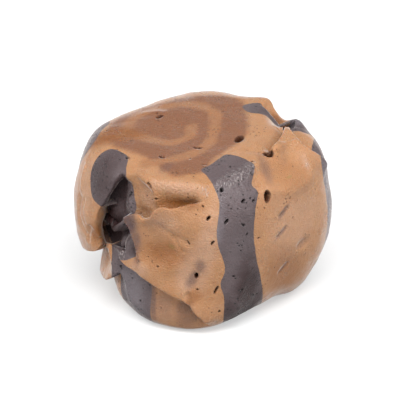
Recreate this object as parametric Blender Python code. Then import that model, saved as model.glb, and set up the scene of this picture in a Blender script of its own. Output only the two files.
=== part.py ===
"""One piece of swirled taffy with dark stripes, as it comes out of its wrapper.

The piece is a squat block, about 26 mm across, cut from a pulled rope. A thin outer layer is
folded over the block, and six dark stripes run down through it from top to underside. Each
stripe is a wedge of dark taffy let into the body.

The block starts as one rounded form and is moved by named strokes: pulls, dents, folds and
creases. A place on the block is (longitude, latitude) in degrees, seen from its middle.
Longitude 0 is the front (-Y), 90 the right (+X), -90 the left, and latitude 90 the top.

Units are metres and +Z is up. The origin is at the middle of the underside of its box.
"""
import math

import bmesh
import bpy
import numpy as np

MM = 0.001

# Driving dimensions
HALF_HEIGHT = 8.5 * MM      # middle of the block to its top face
HALF_SIDE = 10.8 * MM       # middle of the block to its pressed sides
DEPTH_SHARE = 0.93          # front to back, as a share of left to right
PLAN_POWER = 2.6            # seen from above: 2 is round, more is squarer
RIM_POWER = 5.8             # seen from the side: more makes a tighter rim
PLAN_TURN = math.radians(45)    # the squarer plan's corners face front, back, left and right
BARREL = 0.05               # swelling of the sides at half height
REST_SLICE = 0.35 * MM      # cut off the underside, so that the piece rests flat
JOIN_GAP = 0.3 * MM         # left between the body and each stripe

# Fineness of the solid
GRID_STEPS = 120            # grid squares along each edge of the starting cube
GRID_SQUASH = 0.7           # height of the starting grid over its width
BLOCK_TRIANGLES = 8200      # facets kept for the whole block
PATH_STEP = 0.15 * MM       # spacing of points along a fold's path
STROKE_REACH = 6.0 * MM     # nothing further from a path is moved by it
FOLD_EDGE = 0.3 * MM        # half the breadth of a fold's step
SOFTENING = 3               # rounds of smoothing over the fold's edges
LEAN_WIDTH = 0.6 * MM       # how far from its edge a folded sheet leans over
END_FADE = 0.35 * MM        # how soon a stroke dies out past the ends of its path

# Colours (linear)
TAN = (0.42, 0.22, 0.12)
DARK = (0.12, 0.09, 0.09)

# Pulls: place, reach, and how far the surface there moves along X, Y and Z
PULLS = {
    "right belly": ((88, -2), 5.0 * MM, (0.6 * MM, 0, 0)),
    "right hip": ((62, -36), 5.0 * MM, (-0.4 * MM, 0.2 * MM, 0.1 * MM)),
    "right side, low down": ((84, -32), 3.0 * MM, (-0.4 * MM, 0, 0)),
    "front right hem": ((38, -42), 5.0 * MM, (-0.3 * MM, 0.6 * MM, 0.2 * MM)),
    "right foot": ((76, -40), 2.5 * MM, (0.1 * MM, -0.1 * MM, -0.5 * MM)),
    "front hem": ((-4, -40), 4.0 * MM, (0, -0.6 * MM, -0.2 * MM)),
    "left front hem": ((-42, -42), 4.0 * MM, (0.2 * MM, -1.1 * MM, -0.3 * MM)),
    "left lobe": ((-85, -2), 4.5 * MM, (-0.7 * MM, 0, 0)),
    "left waist": ((-84, -36), 4.5 * MM, (2.2 * MM, 0.2 * MM, 0)),
    "back rim": ((168, 40), 6.0 * MM, (0.2 * MM, 0.4 * MM, 0.3 * MM)),
    "back left rim": ((-125, 44), 4.0 * MM, (0.3 * MM, 0, 0)),
    "back right corner": ((140, 41), 2.0 * MM, (0.8 * MM, 0.8 * MM, 0.3 * MM)),
    "bump behind the right flap": ((112, 38), 1.2 * MM, (0.2 * MM, 0.3 * MM, 0.7 * MM)),
    "back left shoulder": ((-115, 35), 4.0 * MM, (-0.4 * MM, 0.5 * MM, 0)),
    "right shoulder": ((95, 32), 3.0 * MM, (0.2 * MM, 0.3 * MM, -0.3 * MM)),
}

# Dents: place, half width, half height and depth
DENTS = {
    "valley under the front rim": ((-12, 33), 3.4 * MM, 1.0 * MM, 1.1 * MM),
    "facet under the left rim": ((-36, 30), 2.0 * MM, 1.8 * MM, 1.0 * MM),
    "hollow of the left stripe": ((-47, 22), 1.6 * MM, 2.8 * MM, 1.5 * MM),
    "pocket": ((-55, 1), 1.5 * MM, 1.8 * MM, 1.8 * MM),
    "hollow of the flap": ((-18, 6), 2.6 * MM, 2.8 * MM, 0.5 * MM),
    "under layer": ((-30, -24), 5.0 * MM, 1.8 * MM, 0.5 * MM),
    "hollow behind the right flap": ((111, 43), 1.4 * MM, 2.0 * MM, 1.6 * MM),
    "brown hollow at the back right": ((126, 41), 1.1 * MM, 1.6 * MM, 0.9 * MM),
}

# Folds: the upper sheet lies to the left of the path, seen from outside
LOBE_EDGE = [(-60, -7), (-63, -1), (-62, 12), (-59, 22), (-56, 31), (-53, 38)]
LOBE_HEM = [(-128, -12), (-114, -15), (-100, -17), (-90, -17), (-82, -15), (-75, -13), (-66, -10), (-60, -5)]
FLAP_TOP = [(1, 34), (-5, 31), (-11, 29), (-17, 28), (-22, 28), (-25, 26), (-27, 23), (-31, 21),
            (-36, 21), (-42, 19), (-48, 13), (-54, 8), (-59, 5), (-63, 3)]
FLAP_LEFT = [(-43, 18), (-40, 14), (-38, 9), (-36, 3), (-35, -4)]
FLAP_BOTTOM = [(-46, -4), (-42, -8), (-34, -10), (-26, -13), (-19, -15), (-12, -18), (-7, -21),
               (-4, -24), (1, -29), (4, -35)]
BACK_SHEET = [(-84, -27), (-76, -26), (-69, -25), (-63, -24), (-56, -20), (-49, -16)]
RIGHT_FLAP = [(86, 22), (82, 30), (79, 34), (78, 38), (82, 41), (91, 44), (100, 45), (86, 47),
              (72, 48), (60, 49)]
STRIPE_EDGE = [(104, 45), (112, 44), (118, 44), (124, 45), (132, 46), (138, 47)]
REAR_FLAP = [(-150, 34), (-156, 20), (-164, 8), (-170, -6), (-172, -22)]

# Creases: path, depth (negative for a raised ridge) and half width
CREASES = {
    "ridge of the under layer": (
        [(-47, -9), (-49, -15), (-45, -21), (-41, -27), (-42, -33)], -0.25 * MM, 0.5 * MM),
    "front rim": (
        [(-50, 40), (-42, 40), (-30, 41), (-17, 41), (-5, 41), (6, 41)], -0.35 * MM, 0.9 * MM),
    "edge of the left facet": ([(-48, 41), (-35, 39), (-26, 36), (-23, 30)], -0.25 * MM, 0.5 * MM),
    "ridge of the front stripe": ([(23, 18), (20, 8), (18, -9), (17, -28)], -0.2 * MM, 0.6 * MM),
    "spine of the right flap": ([(57, 48), (63, 46), (68, 44), (75, 42), (85, 40)], -0.35 * MM, 0.5 * MM),
    "groove beside the right flap": ([(55, 48), (44, 44), (36, 40), (31, 36)], 0.3 * MM, 0.5 * MM),
    "groove in the top": ([(58, 63), (55, 56), (55, 50)], 0.3 * MM, 0.4 * MM),
    "crease of the back": ([(150, 30), (144, 12), (150, -8), (146, -26)], 0.35 * MM, 0.7 * MM),
}

# Stripes: inner end in plan (X, Y) from the block's middle, the longitude that the stripe widens
# towards, half width at its inner end and at the surface, and how far its foot stands to its right
STRIPES = {
    "stripe_front": ((2.2 * MM, -4.6 * MM), 8, 1.9 * MM, 1.7 * MM, 1.1 * MM),
    "stripe_front_left": ((-8.5 * MM, -3.0 * MM), 0, 1.3 * MM, 3.3 * MM, 1.2 * MM),
    "stripe_left": ((-8.2 * MM, 1.9 * MM), -98, 1.3 * MM, 1.7 * MM, 0.5 * MM),
    "stripe_back": ((-1.9 * MM, 8.3 * MM), -168, 1.5 * MM, 1.9 * MM, -0.8 * MM),
    "stripe_back_right": ((5.4 * MM, 4.9 * MM), 132, 1.5 * MM, 1.8 * MM, 0.6 * MM),
    "stripe_right": ((9.3 * MM, 2.9 * MM), 94, 1.4 * MM, 1.8 * MM, -2.6 * MM),
}
STRIPE_OUTSIDE = 9.0 * MM       # how far a stripe's wedge reaches past its inner end
END_STEPS = 8                   # facets of a stripe's round inner end
WEDGE_BELOW = 2.0 * MM          # the wedge runs past the underside
WEDGE_HEIGHT = 24.0 * MM        # and past the top


def clear_scene():
    """Start from an empty scene."""
    for thing in list(bpy.data.objects):
        bpy.data.objects.remove(thing, do_unlink=True)


def direction(places):
    """Unit vectors towards places given as (longitude, latitude) in degrees."""
    lon, lat = np.radians(np.asarray(places, float)).T
    return np.stack([np.cos(lat) * np.sin(lon), -np.cos(lat) * np.cos(lon), np.sin(lat)], -1)


def plain_form(ways):
    """Points of the plain pressed block along unit vectors from its middle."""
    cos_turn, sin_turn = math.cos(PLAN_TURN), math.sin(PLAN_TURN)
    ahead = ways[..., 1] / DEPTH_SHARE
    across = cos_turn * ways[..., 0] + sin_turn * ahead
    along = cos_turn * ahead - sin_turn * ways[..., 0]
    plan = np.abs(across / HALF_SIDE) ** PLAN_POWER + np.abs(along / HALF_SIDE) ** PLAN_POWER
    level = np.abs(ways[..., 2] / HALF_HEIGHT) ** RIM_POWER
    points = ways * ((plan ** (RIM_POWER / PLAN_POWER) + level) ** (-1 / RIM_POWER))[..., None]
    swell = 1 + BARREL * (1 - (points[..., 2] / HALF_HEIGHT) ** 2)
    return points * np.stack([swell, swell, np.ones_like(swell)], -1)


def smooth_path(places):
    """Closely spaced points of a smooth curve over the plain block, through the given places."""
    points = plain_form(direction(places))
    points = np.vstack([2 * points[0] - points[1], points, 2 * points[-1] - points[-2]])
    runs = []
    for before, start, end, after in zip(points, points[1:], points[2:], points[3:]):
        count = max(2, int(np.linalg.norm(end - start) / PATH_STEP))
        t = np.linspace(0, 1, count, endpoint=False)[:, None]
        bend = 2 * before - 5 * start + 4 * end - after
        twist = 3 * start - before - 3 * end + after
        runs.append(0.5 * (2 * start + (end - before) * t + bend * t ** 2 + twist * t ** 3))
    return np.vstack(runs + [points[-2:-1]])


def bell(distance, width):
    """1 at no distance, falling smoothly away over the given width."""
    return np.exp(-(distance / width) ** 2)


def ramp(value, low, high):
    """0 below low, 1 above high, and smooth between."""
    t = np.clip((value - low) / (high - low), 0, 1)
    return t * t * (3 - 2 * t)


class Block:
    """The block's grid: where its points started, and where the strokes have moved them."""

    def __init__(self):
        self.mesh = bpy.data.meshes.new("block")
        grid = bmesh.new()
        bmesh.ops.create_cube(grid, size=2)
        bmesh.ops.subdivide_edges(grid, edges=grid.edges, cuts=GRID_STEPS - 1, use_grid_fill=True)
        grid.to_mesh(self.mesh)
        grid.free()
        ways = np.tan(self.read(self.mesh.vertices, "co") * math.pi / 4) * (1, 1, GRID_SQUASH)
        ways /= np.linalg.norm(ways, axis=1, keepdims=True)
        self.start = plain_form(ways)
        self.points = self.start.copy()
        self.settle()
        self.start_normals = self.normals

    @staticmethod
    def read(items, name):
        values = np.empty(len(items) * 3)
        items.foreach_get(name, values)
        return values.reshape(-1, 3)

    def settle(self):
        """Take the present surface as the one that the next strokes push along."""
        self.mesh.vertices.foreach_set("co", self.points.ravel())
        self.mesh.update()
        self.normals = self.read(self.mesh.vertex_normals, "vector")

    def pull(self, place, reach, move):
        """Move the surface round a place bodily."""
        centre = plain_form(direction([place]))
        weight = bell(np.linalg.norm(self.start - centre, axis=1), reach)
        self.points += weight[:, None] * move

    def dent(self, place, wide, tall, depth):
        """Press the surface in round a place."""
        off = self.start - plain_form(direction([place]))
        sideways = np.hypot(off[:, 0], off[:, 1])
        weight = bell(sideways, wide) * bell(off[:, 2], tall)
        self.points -= self.normals * (weight * depth)[:, None]

    def beside(self, places, fades):
        """Where the points near a path lie: which they are, how far to the left of it,
        how far from it, the way to its left, and a weight that fades towards its ends."""
        path = smooth_path(places)
        low, high = path.min(0) - STROKE_REACH, path.max(0) + STROKE_REACH
        near = np.nonzero(((self.start > low) & (self.start < high)).all(1))[0]
        points = self.start[near]
        nearest = np.concatenate([
            ((some[:, None] - path) ** 2).sum(-1).argmin(1)
            for some in np.array_split(points, 1 + len(points) // 2000)])
        tangents = np.gradient(path, axis=0)
        tangents /= np.linalg.norm(tangents, axis=1, keepdims=True)
        left = np.cross(self.start_normals[near], tangents[nearest])
        left /= np.linalg.norm(left, axis=1, keepdims=True)
        off = points - path[nearest]
        share = nearest / (len(path) - 1)
        weight = ramp(share, 0, fades[0]) * (1 - ramp(share, 1 - fades[1], 1))
        weight *= bell((off * tangents[nearest]).sum(1), END_FADE)
        return near, (off * left).sum(1), np.linalg.norm(off, axis=1), left, weight

    def crease(self, places, depth, width, fades=(0.2, 0.2)):
        """Draw a groove along a path, or a ridge where the depth is negative."""
        near, _, away, _, weight = self.beside(places, fades)
        weight *= bell(away, width)
        self.points[near] -= self.normals[near] * (weight * depth)[:, None]

    def fold(self, places, raised, dropped, up, down, lap, fades=(0.1, 0.1)):
        """Lay a sheet over the surface: it ends along the path, stands up on the path's left
        over the width up, and laps over a step that falls away over the width down."""
        near, aside, _, left, weight = self.beside(places, fades)
        upper = ramp(aside, -FOLD_EDGE, FOLD_EDGE)
        lower = 1 - upper
        rise = upper * raised * bell(aside, up) - lower * dropped * bell(aside, down)
        lean = (upper - 0.6 * lower) * lap * bell(aside, LEAN_WIDTH)
        self.points[near] += self.normals[near] * (rise * weight)[:, None]
        self.points[near] -= left * (lean * weight)[:, None]


def shape_block():
    """The whole piece, before its stripes are parted from it."""
    block = Block()
    for place, reach, move in PULLS.values():
        block.pull(place, reach, move)
    block.settle()
    for place, wide, tall, depth in DENTS.values():
        block.dent(place, wide, tall, depth)
    block.settle()
    block.fold(LOBE_EDGE, 0.6 * MM, 1.2 * MM, up=1.6 * MM, down=1.2 * MM, lap=0.25 * MM)
    block.fold(LOBE_HEM, 0.3 * MM, 1.9 * MM, up=1.6 * MM, down=2.2 * MM, lap=0.4 * MM, fades=(0.3, 0.1))
    block.fold(FLAP_TOP, 0.45 * MM, 0.7 * MM, up=0.8 * MM, down=0.9 * MM, lap=0.25 * MM, fades=(0.1, 0.04))
    block.fold(FLAP_BOTTOM, 0.4 * MM, 0.8 * MM, up=1.6 * MM, down=2.0 * MM, lap=0.25 * MM, fades=(0.1, 0.15))
    block.fold(FLAP_LEFT, 0.3 * MM, 1.2 * MM, up=1.0 * MM, down=0.9 * MM, lap=0.1 * MM)
    block.fold(BACK_SHEET, 0.9 * MM, 0.5 * MM, up=0.9 * MM, down=1.0 * MM, lap=0.2 * MM, fades=(0.25, 0.1))
    block.fold(RIGHT_FLAP, 0.6 * MM, 0.7 * MM, up=0.9 * MM, down=0.8 * MM, lap=0.2 * MM)
    block.fold(STRIPE_EDGE, 0.2 * MM, 1.0 * MM, up=0.6 * MM, down=0.9 * MM, lap=0.1 * MM, fades=(0.1, 0.3))
    block.fold(REAR_FLAP, 0.4 * MM, 0.6 * MM, up=1.6 * MM, down=1.4 * MM, lap=0.2 * MM, fades=(0.25, 0.25))
    for places, depth, width in CREASES.values():
        block.crease(places, depth, width)
    block.settle()
    return block.mesh


def facet_block(mesh):
    """Thin the grid out to the facets that the folds need, and slice the underside flat."""
    fine = bpy.data.objects.new("fine_block", mesh)
    bpy.context.scene.collection.objects.link(fine)
    soft = fine.modifiers.new("soft_edges", "SMOOTH")
    soft.iterations = SOFTENING
    thin = fine.modifiers.new("facets", "DECIMATE")
    thin.ratio = BLOCK_TRIANGLES / (2 * len(mesh.polygons))
    evaluated = fine.evaluated_get(bpy.context.evaluated_depsgraph_get())
    solid = bmesh.new()
    solid.from_mesh(evaluated.to_mesh())
    evaluated.to_mesh_clear()
    bpy.data.objects.remove(fine, do_unlink=True)

    floor = min(vert.co.z for vert in solid.verts) + REST_SLICE
    everything = solid.verts[:] + solid.edges[:] + solid.faces[:]
    bmesh.ops.bisect_plane(
        solid, geom=everything, dist=1e-7, plane_co=(0, 0, floor), plane_no=(0, 0, 1), clear_inner=True)
    rim = [edge for edge in solid.edges if edge.is_boundary]
    bmesh.ops.contextual_create(solid, geom=rim)
    bmesh.ops.recalc_face_normals(solid, faces=solid.faces)

    corners = np.array([vert.co for vert in solid.verts])
    low, high = corners.min(0), corners.max(0)
    shift = -np.array([(low[0] + high[0]) / 2, (low[1] + high[1]) / 2, low[2]])
    bmesh.ops.translate(solid, verts=solid.verts, vec=shift)
    block = bpy.data.meshes.new("faceted_block")
    solid.to_mesh(block)
    solid.free()
    return block, shift


def stripe_wedge(name, stripe, shift, grow):
    """The wedge of one stripe, from below the piece to above it, as a hidden cutter."""
    (x, y), heading, inner, outer, foot = stripe
    outward = direction([(heading, 0)])[0]
    aside = np.array([-outward[1], outward[0], 0])
    outline = [outward * STRIPE_OUTSIDE + aside * (outer + grow)]
    for angle in np.linspace(0, math.pi, END_STEPS + 1):
        reach = aside * math.cos(angle) - outward * math.sin(angle)
        outline.append(reach * (inner + grow) + outward * inner)
    outline.append(outward * STRIPE_OUTSIDE - aside * (outer + grow))

    wedge = bmesh.new()
    foot_shift = aside * foot * (1 + WEDGE_BELOW / (2 * HALF_HEIGHT))
    base = np.array([x, y, 0]) + shift * (1, 1, 0) + (0, 0, -WEDGE_BELOW)
    floor = wedge.faces.new([wedge.verts.new(base + foot_shift + point) for point in outline])
    top = bmesh.ops.extrude_face_region(wedge, geom=[floor])
    raised = [item for item in top["geom"] if isinstance(item, bmesh.types.BMVert)]
    lift = -aside * foot * WEDGE_HEIGHT / (2 * HALF_HEIGHT) + (0, 0, WEDGE_HEIGHT)
    bmesh.ops.translate(wedge, verts=raised, vec=lift)
    bmesh.ops.recalc_face_normals(wedge, faces=wedge.faces)
    mesh = bpy.data.meshes.new(name)
    wedge.to_mesh(mesh)
    wedge.free()

    cutter = bpy.data.objects.new(name, mesh)
    cutter.hide_render = True
    cutter.display_type = "WIRE"
    bpy.context.scene.collection.objects.link(cutter)
    return cutter


def taffy_material(name, colour):
    """Soft satin taffy of one colour."""
    material = bpy.data.materials.new(name)
    material.use_nodes = True
    shader = material.node_tree.nodes["Principled BSDF"]
    shader.inputs["Base Color"].default_value = (*colour, 1)
    shader.inputs["Roughness"].default_value = 0.5
    shader.inputs["Metallic"].default_value = 0
    return material


def add_piece(name, mesh, colour):
    """One sub-part, which starts as the whole block."""
    piece = bpy.data.objects.new(name, mesh.copy())
    piece.data.name = name
    piece.data.materials.append(taffy_material(name, colour))
    bpy.context.scene.collection.objects.link(piece)
    return piece


def cut(piece, cutter, operation):
    """Part a piece by a wedge."""
    boolean = piece.modifiers.new(cutter.name, "BOOLEAN")
    boolean.operation = operation
    boolean.object = cutter
    boolean.solver = "EXACT"


def main():
    clear_scene()
    block, shift = facet_block(shape_block())
    block.shade_smooth()
    body = add_piece("taffy_body", block, TAN)
    for name, stripe in STRIPES.items():
        cut(body, stripe_wedge(name + "_slot", stripe, shift, JOIN_GAP), "DIFFERENCE")
        cut(add_piece(name, block, DARK), stripe_wedge(name + "_wedge", stripe, shift, 0), "INTERSECT")


main()
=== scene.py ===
# %% [markdown]
# # A piece of swirled taffy
# Taffy is sugar boiled, pulled and rolled into a rope. This rope has a swirled middle and dark
# stripes laid down its outside. It is cut into squat pieces, and the paper that each piece is
# twisted into leaves folds, creases and shiny patches on the soft surface. The solids made for
# the part hold the main form. This file makes the fine surface: thin folded sheets, pores, small
# wrinkles and the colours in the mass.
#
# Everything is in metres, in the part's own frame: the piece rests on z = 0 and faces -Y.

# %% Load the frame
import math
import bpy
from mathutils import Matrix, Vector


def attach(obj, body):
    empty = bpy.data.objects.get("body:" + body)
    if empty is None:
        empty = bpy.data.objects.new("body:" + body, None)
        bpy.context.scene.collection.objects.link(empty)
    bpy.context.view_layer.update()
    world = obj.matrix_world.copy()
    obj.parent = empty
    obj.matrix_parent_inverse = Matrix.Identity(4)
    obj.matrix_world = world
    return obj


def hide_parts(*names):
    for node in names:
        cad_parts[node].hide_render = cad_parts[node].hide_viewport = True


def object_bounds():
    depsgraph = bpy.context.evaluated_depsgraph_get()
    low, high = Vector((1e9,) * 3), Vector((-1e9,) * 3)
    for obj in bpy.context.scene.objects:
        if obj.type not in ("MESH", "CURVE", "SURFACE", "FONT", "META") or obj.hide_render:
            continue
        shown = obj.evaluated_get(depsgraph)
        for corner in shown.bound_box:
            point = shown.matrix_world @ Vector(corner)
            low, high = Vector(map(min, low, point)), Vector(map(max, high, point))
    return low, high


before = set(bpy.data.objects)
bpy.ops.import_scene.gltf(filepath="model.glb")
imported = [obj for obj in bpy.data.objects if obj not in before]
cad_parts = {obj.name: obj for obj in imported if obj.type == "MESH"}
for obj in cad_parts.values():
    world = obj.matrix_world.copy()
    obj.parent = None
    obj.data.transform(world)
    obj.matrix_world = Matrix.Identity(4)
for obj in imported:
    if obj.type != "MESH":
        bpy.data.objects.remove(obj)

from types import SimpleNamespace

import bmesh
import bpy
import numpy as np
from mathutils import Vector, kdtree, noise

MM = 0.001
cad_low, cad_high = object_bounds()
print("the solids measure", [round((b - a) / MM, 1) for a, b in zip(cad_low, cad_high)], "mm")

# %% [markdown]
# ## The camera
# The picture was taken from well away, so the sides of the piece hardly run together. A long lens
# at 300 mm does the same. The camera looks down by 30 degrees. It is then moved a little sideways
# and up, so that the piece stands in the frame where it stands in the picture.

# %% Camera
LOOK_DOWN = math.radians(30)
CAMERA_DISTANCE = 300 * MM
FRAME_WIDTH = 41.6 * MM
SENSOR = 36.0
AIM = Vector((0, 0.05 * MM, 7.85 * MM))
SHIFT_RIGHT = 0.5 * MM
SHIFT_UP = 0.37 * MM


def place_object(name, data):
    """A new object in the scene."""
    thing = bpy.data.objects.new(name, data)
    bpy.context.scene.collection.objects.link(thing)
    return thing


camera_up = Vector((0, math.sin(LOOK_DOWN), math.cos(LOOK_DOWN)))
towards_camera = Vector((0, -math.cos(LOOK_DOWN), math.sin(LOOK_DOWN)))
lens = bpy.data.cameras.new("long_lens")
lens.sensor_width = SENSOR
lens.lens = SENSOR * CAMERA_DISTANCE / FRAME_WIDTH
lens.clip_start = 10 * MM
camera = place_object("camera", lens)
camera.location = AIM + towards_camera * CAMERA_DISTANCE + Vector((SHIFT_RIGHT, 0, 0)) + camera_up * SHIFT_UP
camera.rotation_euler = (math.pi / 2 - LOOK_DOWN, 0, 0)
bpy.context.scene.camera = camera
print("camera at", [round(value, 3) for value in camera.location], "lens", round(lens.lens), "mm")

# %% [markdown]
# ## Floor and light
# The piece stands on white paper in a light tent. The paper is lit from below as well, as on a
# light table, so it burns out to white and hides all but the closest shadow. That glow is given to
# the camera alone, because the underside of the real piece stays dark. Most of the light comes from
# a window above and in front. The tent is brightest low down, which lights the steep sides. The
# view transform is set to Standard, because the film-like default would turn the paper grey.
#
# Materials and the world are trees of nodes. Each input of a node holds a value or takes a link
# from another node, and one helper does both.

# %% Node helpers
def add_node(tree, kind, inputs=None, **settings):
    """A node with its settings, and a value or another node's socket for each of its inputs."""
    node = tree.nodes.new(kind)
    for name, value in settings.items():
        setattr(node, name, value)
    for name, source in (inputs or {}).items():
        if isinstance(source, bpy.types.NodeSocket):
            tree.links.new(source, node.inputs[name])
        else:
            node.inputs[name].default_value = source
    return node


def calculate(tree, operation, first, second):
    """One math node; either side may be a number or a socket."""
    return add_node(tree, "ShaderNodeMath", {0: first, 1: second}, operation=operation).outputs["Value"]


def spread(tree, value, low, high, to_low=0.0, to_high=1.0):
    """Map a value from low..high to another range, clamped."""
    ends = {"Value": value, "From Min": low, "From Max": high, "To Min": to_low, "To Max": to_high}
    return add_node(tree, "ShaderNodeMapRange", ends).outputs["Result"]


def camera_ray(tree):
    """1 for what the camera sees directly, and 0 for light on its way."""
    return add_node(tree, "ShaderNodeLightPath").outputs["Is Camera Ray"]


def shader_material(name, values):
    """A new material and its Principled shader, with constant values on some of its sockets."""
    material = bpy.data.materials.new(name)
    material.use_nodes = True
    shader = material.node_tree.nodes["Principled BSDF"]
    for socket, value in values.items():
        shader.inputs[socket].default_value = value
    return material, shader


print("node helpers are ready")

# %% Floor
HALF_FLOOR = 1.5
PAPER_BOUNCE = 0.42
PAPER_GLOW = 0.42
bpy.context.scene.view_settings.view_transform = "Standard"
paper, paper_shader = shader_material("white_paper", {
    "Base Color": (PAPER_BOUNCE, PAPER_BOUNCE, PAPER_BOUNCE, 1), "Roughness": 0.9,
    "Specular IOR Level": 0.1, "Emission Color": (1, 1, 1, 1)})
glow = spread(paper.node_tree, camera_ray(paper.node_tree), 0.0, 1.0, 0.0, PAPER_GLOW)
paper.node_tree.links.new(glow, paper_shader.inputs["Emission Strength"])
corners = [(-1, -1, 0), (1, -1, 0), (1, 1, 0), (-1, 1, 0)]
floor_mesh = bpy.data.meshes.new("paper")
floor_mesh.from_pydata([Vector(corner) * HALF_FLOOR for corner in corners], [], [(0, 1, 2, 3)])
floor_mesh.materials.append(paper)
floor = place_object("paper", floor_mesh)
print("the paper is", 2 * HALF_FLOOR, "m wide")

# %% World and lamps
TENT_LOW = 1.25         # brightness of the tent at the floor
TENT_HIGH = 0.42        # and overhead
TENT_TURN = 0.5         # height over the floor, as the sine of the angle, where it is down to that
world = bpy.data.worlds.new("light_tent")
bpy.context.scene.world = world
world.use_nodes = True
tent = world.node_tree
way = add_node(tent, "ShaderNodeTexCoord").outputs["Generated"]
upward = add_node(tent, "ShaderNodeSeparateXYZ", {"Vector": way}).outputs["Z"]
fall = spread(tent, upward, 0.0, TENT_TURN, TENT_LOW, TENT_HIGH)
background = tent.nodes["Background"]
background.inputs["Color"].default_value = (1, 1, 1, 1)
tent.links.new(calculate(tent, "MAXIMUM", fall, camera_ray(tent)), background.inputs["Strength"])


def area_lamp(name, place, wide, tall, power):
    """A flat lamp that points at the middle of the piece."""
    lamp = bpy.data.lights.new(name, "AREA")
    lamp.shape = "RECTANGLE"
    lamp.size = wide
    lamp.size_y = tall
    lamp.energy = power
    holder = place_object(name, lamp)
    holder.location = place
    holder.rotation_euler = (AIM - Vector(place)).to_track_quat("-Z", "Y").to_euler()


area_lamp("key_window", (0.03, -0.22, 0.50), 0.70, 0.22, 5.2)
area_lamp("right_window", (0.45, -0.20, 0.22), 0.30, 0.30, 1.3)
area_lamp("left_window", (-0.42, -0.22, 0.24), 0.30, 0.30, 1.3)
print("world and three lamps are made")

# %% [markdown]
# ## Places on the block
# It helps to name places on a lumpy thing as on a globe. Longitude 0 is the front, 90 the right
# and -90 the left, and latitude 90 is the middle of the top. The plain block is a rounded box
# whose squarer plan is turned so that its corners face front, back, left and right.

# %% The plain block
HALF_HEIGHT = 8.5 * MM
HALF_SIDE = 10.8 * MM
DEPTH_SHARE = 0.93
PLAN_POWER = 2.6
RIM_POWER = 5.8
PLAN_TURN = math.radians(45)
BARREL = 0.05


def direction(places):
    """Unit vectors towards places given as (longitude, latitude) in degrees."""
    lon, lat = np.radians(np.asarray(places, float)).T
    return np.stack([np.cos(lat) * np.sin(lon), -np.cos(lat) * np.cos(lon), np.sin(lat)], -1)


def plain_form(ways):
    """Points of the plain pressed block along unit vectors from its middle."""
    cos_turn, sin_turn = math.cos(PLAN_TURN), math.sin(PLAN_TURN)
    ahead = ways[..., 1] / DEPTH_SHARE
    across = cos_turn * ways[..., 0] + sin_turn * ahead
    along = cos_turn * ahead - sin_turn * ways[..., 0]
    plan = np.abs(across / HALF_SIDE) ** PLAN_POWER + np.abs(along / HALF_SIDE) ** PLAN_POWER
    level = np.abs(ways[..., 2] / HALF_HEIGHT) ** RIM_POWER
    points = ways * ((plan ** (RIM_POWER / PLAN_POWER) + level) ** (-1 / RIM_POWER))[..., None]
    swell = 1 + BARREL * (1 - (points[..., 2] / HALF_HEIGHT) ** 2)
    return points * np.stack([swell, swell, np.ones_like(swell)], -1)


def place_of(points):
    """Longitude and latitude, in degrees, of points of the plain block."""
    lon = np.degrees(np.arctan2(points[..., 0], -points[..., 1]))
    lat = np.degrees(np.arctan2(points[..., 2], np.hypot(points[..., 0], points[..., 1])))
    return lon, lat


def point_at(place):
    """The point of the plain block at one place."""
    return plain_form(direction([place]))[0]


print("front of the plain block:", point_at((0, 0)) / MM, "mm")

# %% [markdown]
# ## Small helpers
# Most shapes below are made of two curves: a bell, which is 1 in the middle of a stroke and dies away to its
# sides, and a ramp, which goes smoothly from 0 to 1. The paths that folds and creases follow are smooth
# curves through a few given points.

# %% Curves
PATH_STEP = 0.12 * MM


def bell(distance, width):
    """1 at no distance, falling smoothly away over the given width."""
    return np.exp(-(distance / width) ** 2)


def ramp(value, low, high):
    """0 below low, 1 above high, and smooth between."""
    t = np.clip((value - low) / (high - low), 0, 1)
    return t * t * (3 - 2 * t)


def spline(a, b, c, d, t):
    """Points on the way from b to c of a smooth curve through a, b, c and d."""
    bend = 2 * a - 5 * b + 4 * c - d
    twist = 3 * b - a - 3 * c + d
    return 0.5 * (2 * b + (c - a) * t + bend * t ** 2 + twist * t ** 3)


def smooth_line(points, step=PATH_STEP):
    """Closely spaced points of a smooth curve through a few points."""
    points = np.vstack([2 * points[0] - points[1], points, 2 * points[-1] - points[-2]])
    runs = []
    for a, b, c, d in zip(points, points[1:], points[2:], points[3:]):
        count = max(2, int(np.linalg.norm(c - b) / step))
        runs.append(spline(a, b, c, d, np.linspace(0, 1, count, endpoint=False)[:, None]))
    return np.vstack(runs + [points[-2:-1]])


def smooth_path(places, step=PATH_STEP):
    """The same over the plain block, through a few places."""
    return smooth_line(plain_form(direction(places)), step)


def smooth_ring(ring, steps=5):
    """A closed smooth curve through a few points."""
    around = zip(np.roll(ring, 1, 0), ring, np.roll(ring, -1, 0), np.roll(ring, -2, 0))
    t = np.arange(steps)[:, None] / steps
    return np.vstack([spline(*four, t) for four in around])


def roughly(points, size, seed):
    """Smooth noise from -1 to 1 at points, with lumps of about the given size."""
    shift = Vector((seed * 7.31, seed * 3.77, seed * 5.13))
    return np.array([noise.noise(Vector(point) / size + shift) for point in points])


print("halfway up a ramp:", float(ramp(0.5, 0, 1)))

# %% [markdown]
# ## The dark stripes' outlines
# The stripes were laid down the rope before it was cut, so each runs from the top of the piece
# down its side and under it. An outline is a closed curve through a few places. To measure how
# far a point lies inside it, the surface round the stripe is unrolled flat: across the stripe, and
# up the side and over the rim. The borders wander a little, as pulled sugar does.

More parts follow.
